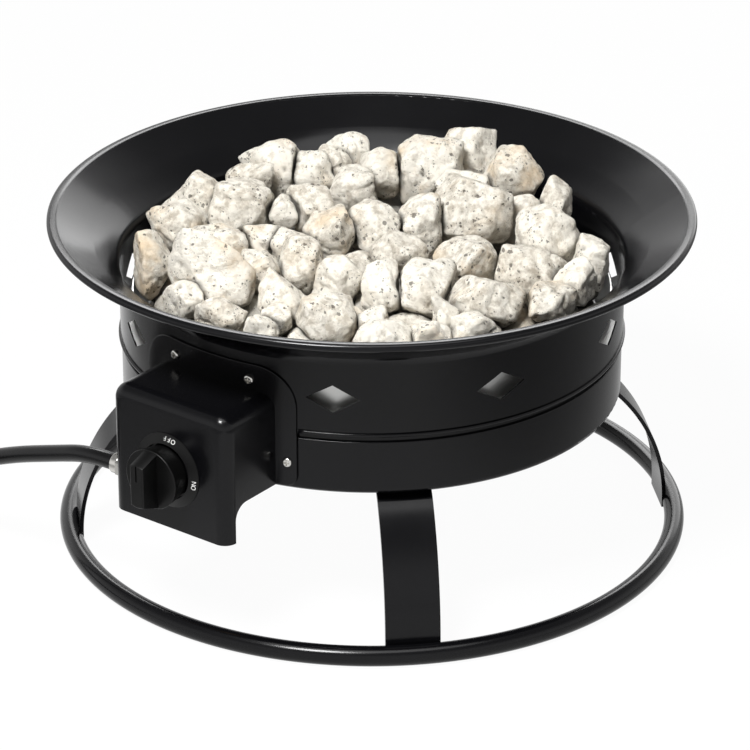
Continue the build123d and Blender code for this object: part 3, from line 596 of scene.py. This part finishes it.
def allStones():
    pile = {}
    layers = {}
    for node, first in stones["layers"].items():
        found = stoneFlats(node)
        layers[node] = [first + i for i in range(len(found))]
        pile.update(zip(layers[node], found))
    top = layers["rocks_top"]
    half = len(top) // 2
    stonePile("stonesTopLeft", "rocks_top", top[:half], pile)
    stonePile("stonesTopRight", "rocks_top", top[half:], pile)
    stonePile("stonesMiddle", "rocks_middle", layers["rocks_middle"], pile)
    stonePile("stonesBase", "rocks_base", layers["rocks_base"], pile)
    print("stones made:", len(pile))


allStones()


# Rolled rim: the flare's edge turns level for a few millimetres, then rolls over and under
rim = {
    "middle": (238.3, 253.8),  # radius and height of the roll's centre, millimetres
    "roll": 3.08,
    "rollTurn": 190,  # degrees
    "lip": (
        (232.4, 255.5), (233.0, 256.03), (233.8, 256.46),
        (234.6, 256.75), (235.4, 256.87), (236.8, 256.88)),
    "under": (235.6, 252.6),
    "sides": 14,
    "steps": 256,
}


def rolledRim():
    bm = bmesh.new()
    profile = list(rim["lip"])
    for index in range(rim["sides"] + 1):
        angle = math.radians(90 - rim["rollTurn"] * index / rim["sides"])
        around = rim["middle"][0] + rim["roll"] * math.cos(angle)
        level = rim["middle"][1] + rim["roll"] * math.sin(angle)
        profile.append((around, level))
    profile.append(rim["under"])
    section = [bm.verts.new(Vector((r, 0, z)) * mm) for r, z in profile]
    for index, vert in enumerate(section):
        bm.edges.new((section[index - 1], vert))
    bmesh.ops.spin(
        bm, geom=bm.verts[:] + bm.edges[:], cent=(0, 0, 0), axis=(0, 0, 1), angle=2 * math.pi,
        steps=rim["steps"], use_merge=True)
    bmesh.ops.remove_doubles(bm, verts=bm.verts, dist=weld)
    bmesh.ops.recalc_face_normals(bm, faces=bm.faces)
    for face in bm.faces:
        face.smooth = True
    return newPiece("rolledRim", bm, finishes["black_enamel"])


# Rolled lower edge of the shell, open behind the control box's flange, and the stand's ring on the floor
tubes = {
    "shellHem": {
        "ring": 189.0, "level": 162.5, "tube": 1.53, "sides": 16, "steps": 240,
        "gap": 69.2, "middle": 225.0},  # half the opening in millimetres, and where it is in degrees
    "floorRing": {
        "ring": 232.2, "level": 7.5, "tube": 7.5, "sides": 48, "steps": 320,
        "gap": 0.0, "middle": 0.0},
}


def spunTube(name):
    look = tubes[name]
    bm = bmesh.new()
    half = math.degrees(math.asin(look["gap"] / look["ring"]))
    whole = half == 0
    start = Matrix.Rotation(math.radians(look["middle"] + half), 4, "Z")
    place = Matrix.Translation(Vector((look["ring"], 0, look["level"])) * mm)
    stand = Matrix.Rotation(math.radians(90), 4, "X")
    bmesh.ops.create_circle(
        bm, cap_ends=not whole, segments=look["sides"], radius=look["tube"] * mm,
        matrix=start @ place @ stand)
    bmesh.ops.spin(
        bm, geom=bm.verts[:] + bm.edges[:] + bm.faces[:], cent=(0, 0, 0), axis=(0, 0, 1),
        angle=math.radians(360 - 2 * half), steps=look["steps"], use_merge=whole)
    bmesh.ops.remove_doubles(bm, verts=bm.verts, dist=weld)
    bmesh.ops.recalc_face_normals(bm, faces=bm.faces)
    for face in bm.faces:
        face.smooth = len(face.verts) == 4
    return newPiece(name, bm, finishes["black_enamel"])


rolledRim()
spunTube("shellHem")
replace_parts(spunTube("floorRing"), "base_ring")
print("rim, hem and ring rolled")


# Dial marks in white ink, their tops towards the knob; sizes in millimetres
dial = {
    "level": 135.5,
    "front": 238.5,
    "outer": (28.7, 0.6),  # radius and height off the box of the ring's slope
    "inner": (21.6, 3.6),
    "inset": 0.42,  # how far up the slope the letters' middles are
    "letter": 4.8,
    "spacing": 8.4,  # degrees from letter to letter
    "words": (("OFF", 7.0), ("ON", 100.0)),
    "thick": 0.12,
}


def dialMarks():
    bm = bmesh.new()
    (outR, outH), (inR, inH) = dial["outer"], dial["inner"]
    slope = math.atan2(inH - outH, outR - inR)
    radius = outR + dial["inset"] * (inR - outR)
    height = dial["front"] + outH + dial["inset"] * (inH - outH)
    for word, middle in dial["words"]:
        for index, letter in enumerate(word):
            angle = math.radians(middle + dial["spacing"] * ((len(word) - 1) / 2 - index))
            away = up * math.cos(angle) + across * math.sin(angle)
            letterUp = out * math.sin(slope) - away * math.cos(slope)
            facing = out * math.cos(slope) + away * math.sin(slope)
            right = letterUp.cross(facing)
            centre = (out * height + away * radius) * mm + up * dial["level"] * mm
            text = bpy.data.curves.new("dialLetter", "FONT")
            text.body = letter
            text.size = dial["letter"] * mm
            text.align_x = "CENTER"
            text.align_y = "CENTER"
            text.extrude = dial["thick"] * mm
            holder = bpy.data.objects.new("dialLetter", text)
            mesh = bpy.data.meshes.new_from_object(holder)
            turn = Matrix((right, letterUp, facing)).transposed().to_4x4()
            mesh.transform(Matrix.Translation(centre) @ turn)
            bm.from_mesh(mesh)
            bpy.data.objects.remove(holder)
            bpy.data.curves.remove(text)
            bpy.data.meshes.remove(mesh)
    return newPiece("dialMarks", bm, whiteInk())


dialMarks()
print("dial marked")


# White floor that fades into the background and keeps a faint shadow; gloss sees it dimmer at both sides
floorLook = {
    "half": 4.0,
    "color": "#f4f4f4",
    "glow": 0.965,
    "right": (0.05, 0.5, 0.35),  # where gloss sees it dim from, where it is dimmest, how bright there
    "left": (-0.28, -0.5, 0.5),
}


def backgroundRays(tree):
    # Rays that see the background itself, and not only its light
    rays = addNode(tree, "LightPath")
    straight = addNode(tree, "Math", {
        0: rays.outputs["Is Camera Ray"], 1: rays.outputs["Is Glossy Ray"]}, operation="MAXIMUM")
    seen = addNode(tree, "Math", {
        0: straight.outputs[0], 1: rays.outputs["Is Transmission Ray"]}, operation="MAXIMUM")
    return rays, seen.outputs[0]


def studioFloor():
    bm = bmesh.new()
    bmesh.ops.create_grid(bm, x_segments=1, y_segments=1, size=floorLook["half"])
    mesh = bpy.data.meshes.new("floor")
    bm.to_mesh(mesh)
    bm.free()
    material, tree, place = startMaterial("whiteFloor")
    rays, seen = backgroundRays(tree)
    share = addNode(tree, "Math", {0: seen, 1: floorLook["glow"]}, operation="MULTIPLY")
    spot = addNode(tree, "SeparateXYZ", {0: place})
    dims = []
    for side in ("right", "left"):
        start, end, least = floorLook[side]
        dims.append(addNode(tree, "MapRange", {
            "Value": spot.outputs["X"], "From Min": start, "From Max": end,
            "To Min": 1.0, "To Max": least}, interpolation_type="SMOOTHSTEP"))
    dim = addNode(tree, "Math", {0: dims[0].outputs[0], 1: dims[1].outputs[0]}, operation="MINIMUM")
    strength = addNode(tree, "MapRange", {
        "Value": rays.outputs["Is Glossy Ray"], "To Min": 1.0, "To Max": dim.outputs[0]})
    paint = addNode(tree, "BsdfDiffuse", {"Color": hexColor(floorLook["color"])})
    glow = addNode(tree, "Emission", {"Color": (1, 1, 1, 1), "Strength": strength.outputs[0]})
    mix = addNode(tree, "MixShader", {0: share.outputs[0], 1: paint.outputs[0], 2: glow.outputs[0]})
    addNode(tree, "OutputMaterial", {"Surface": mix.outputs[0]})
    floor = bpy.data.objects.new("floor", mesh)
    mesh.materials.append(material)
    scene.collection.objects.link(floor)


# White all round the horizon, dim overhead as a studio ceiling is
worldLook = {"seen": 1.0, "ceiling": 0.3, "ceilingFrom": 0.3, "ceilingTo": 0.75, "fill": 0.22}


def studioWorld():
    world = bpy.data.worlds.new("studio")
    scene.world = world
    world.use_nodes = True
    tree = world.node_tree
    tree.nodes.clear()
    seen = backgroundRays(tree)[1]
    way = addNode(tree, "SeparateXYZ", {0: addNode(tree, "TexCoord").outputs["Generated"]})
    dome = addNode(tree, "MapRange", {
        "Value": way.outputs["Z"],
        "From Min": worldLook["ceilingFrom"], "From Max": worldLook["ceilingTo"],
        "To Min": worldLook["seen"], "To Max": worldLook["ceiling"]}, interpolation_type="SMOOTHSTEP")
    strength = addNode(tree, "MapRange", {
        "Value": seen, "To Min": worldLook["fill"], "To Max": dome.outputs[0]})
    sky = addNode(tree, "Background", {"Color": (1, 1, 1, 1), "Strength": strength.outputs[0]})
    addNode(tree, "OutputWorld", {"Surface": sky.outputs[0]})


# Soft boxes, in metres and watts; lights is False where a panel only shows in gloss
softBoxes = {
    "key": {"place": (-0.75, -1.1, 2.1), "size": (0.7, 0.7), "watts": 80.0, "lights": True},
    "frontOverhead": {"place": (-0.1, -0.6, 2.25), "size": (2.0, 1.4), "watts": 23.0, "lights": False},
    "rightBack": {"place": (1.25, 2.2, 0.7), "size": (1.7, 1.5), "watts": 12.0, "lights": True},
    "farBoard": {"place": (0.3, 2.6, 2.0), "size": (2.4, 1.0), "watts": 45.0, "lights": False},
}
softBoxAim = Vector((0, 0, 0.2))


def studioLights():
    for name, look in softBoxes.items():
        lamp = bpy.data.lights.new(name, "AREA")
        lamp.shape = "ELLIPSE"
        lamp.size, lamp.size_y = look["size"]
        lamp.energy = look["watts"]
        panel = bpy.data.objects.new(name, lamp)
        panel.location = look["place"]
        panel.rotation_euler = (softBoxAim - panel.location).to_track_quat("-Z", "Y").to_euler()
        panel.visible_diffuse = look["lights"]
        scene.collection.objects.link(panel)


studioFloor()
studioWorld()
studioLights()
scene.view_settings.view_transform = "Standard"
print("studio set")
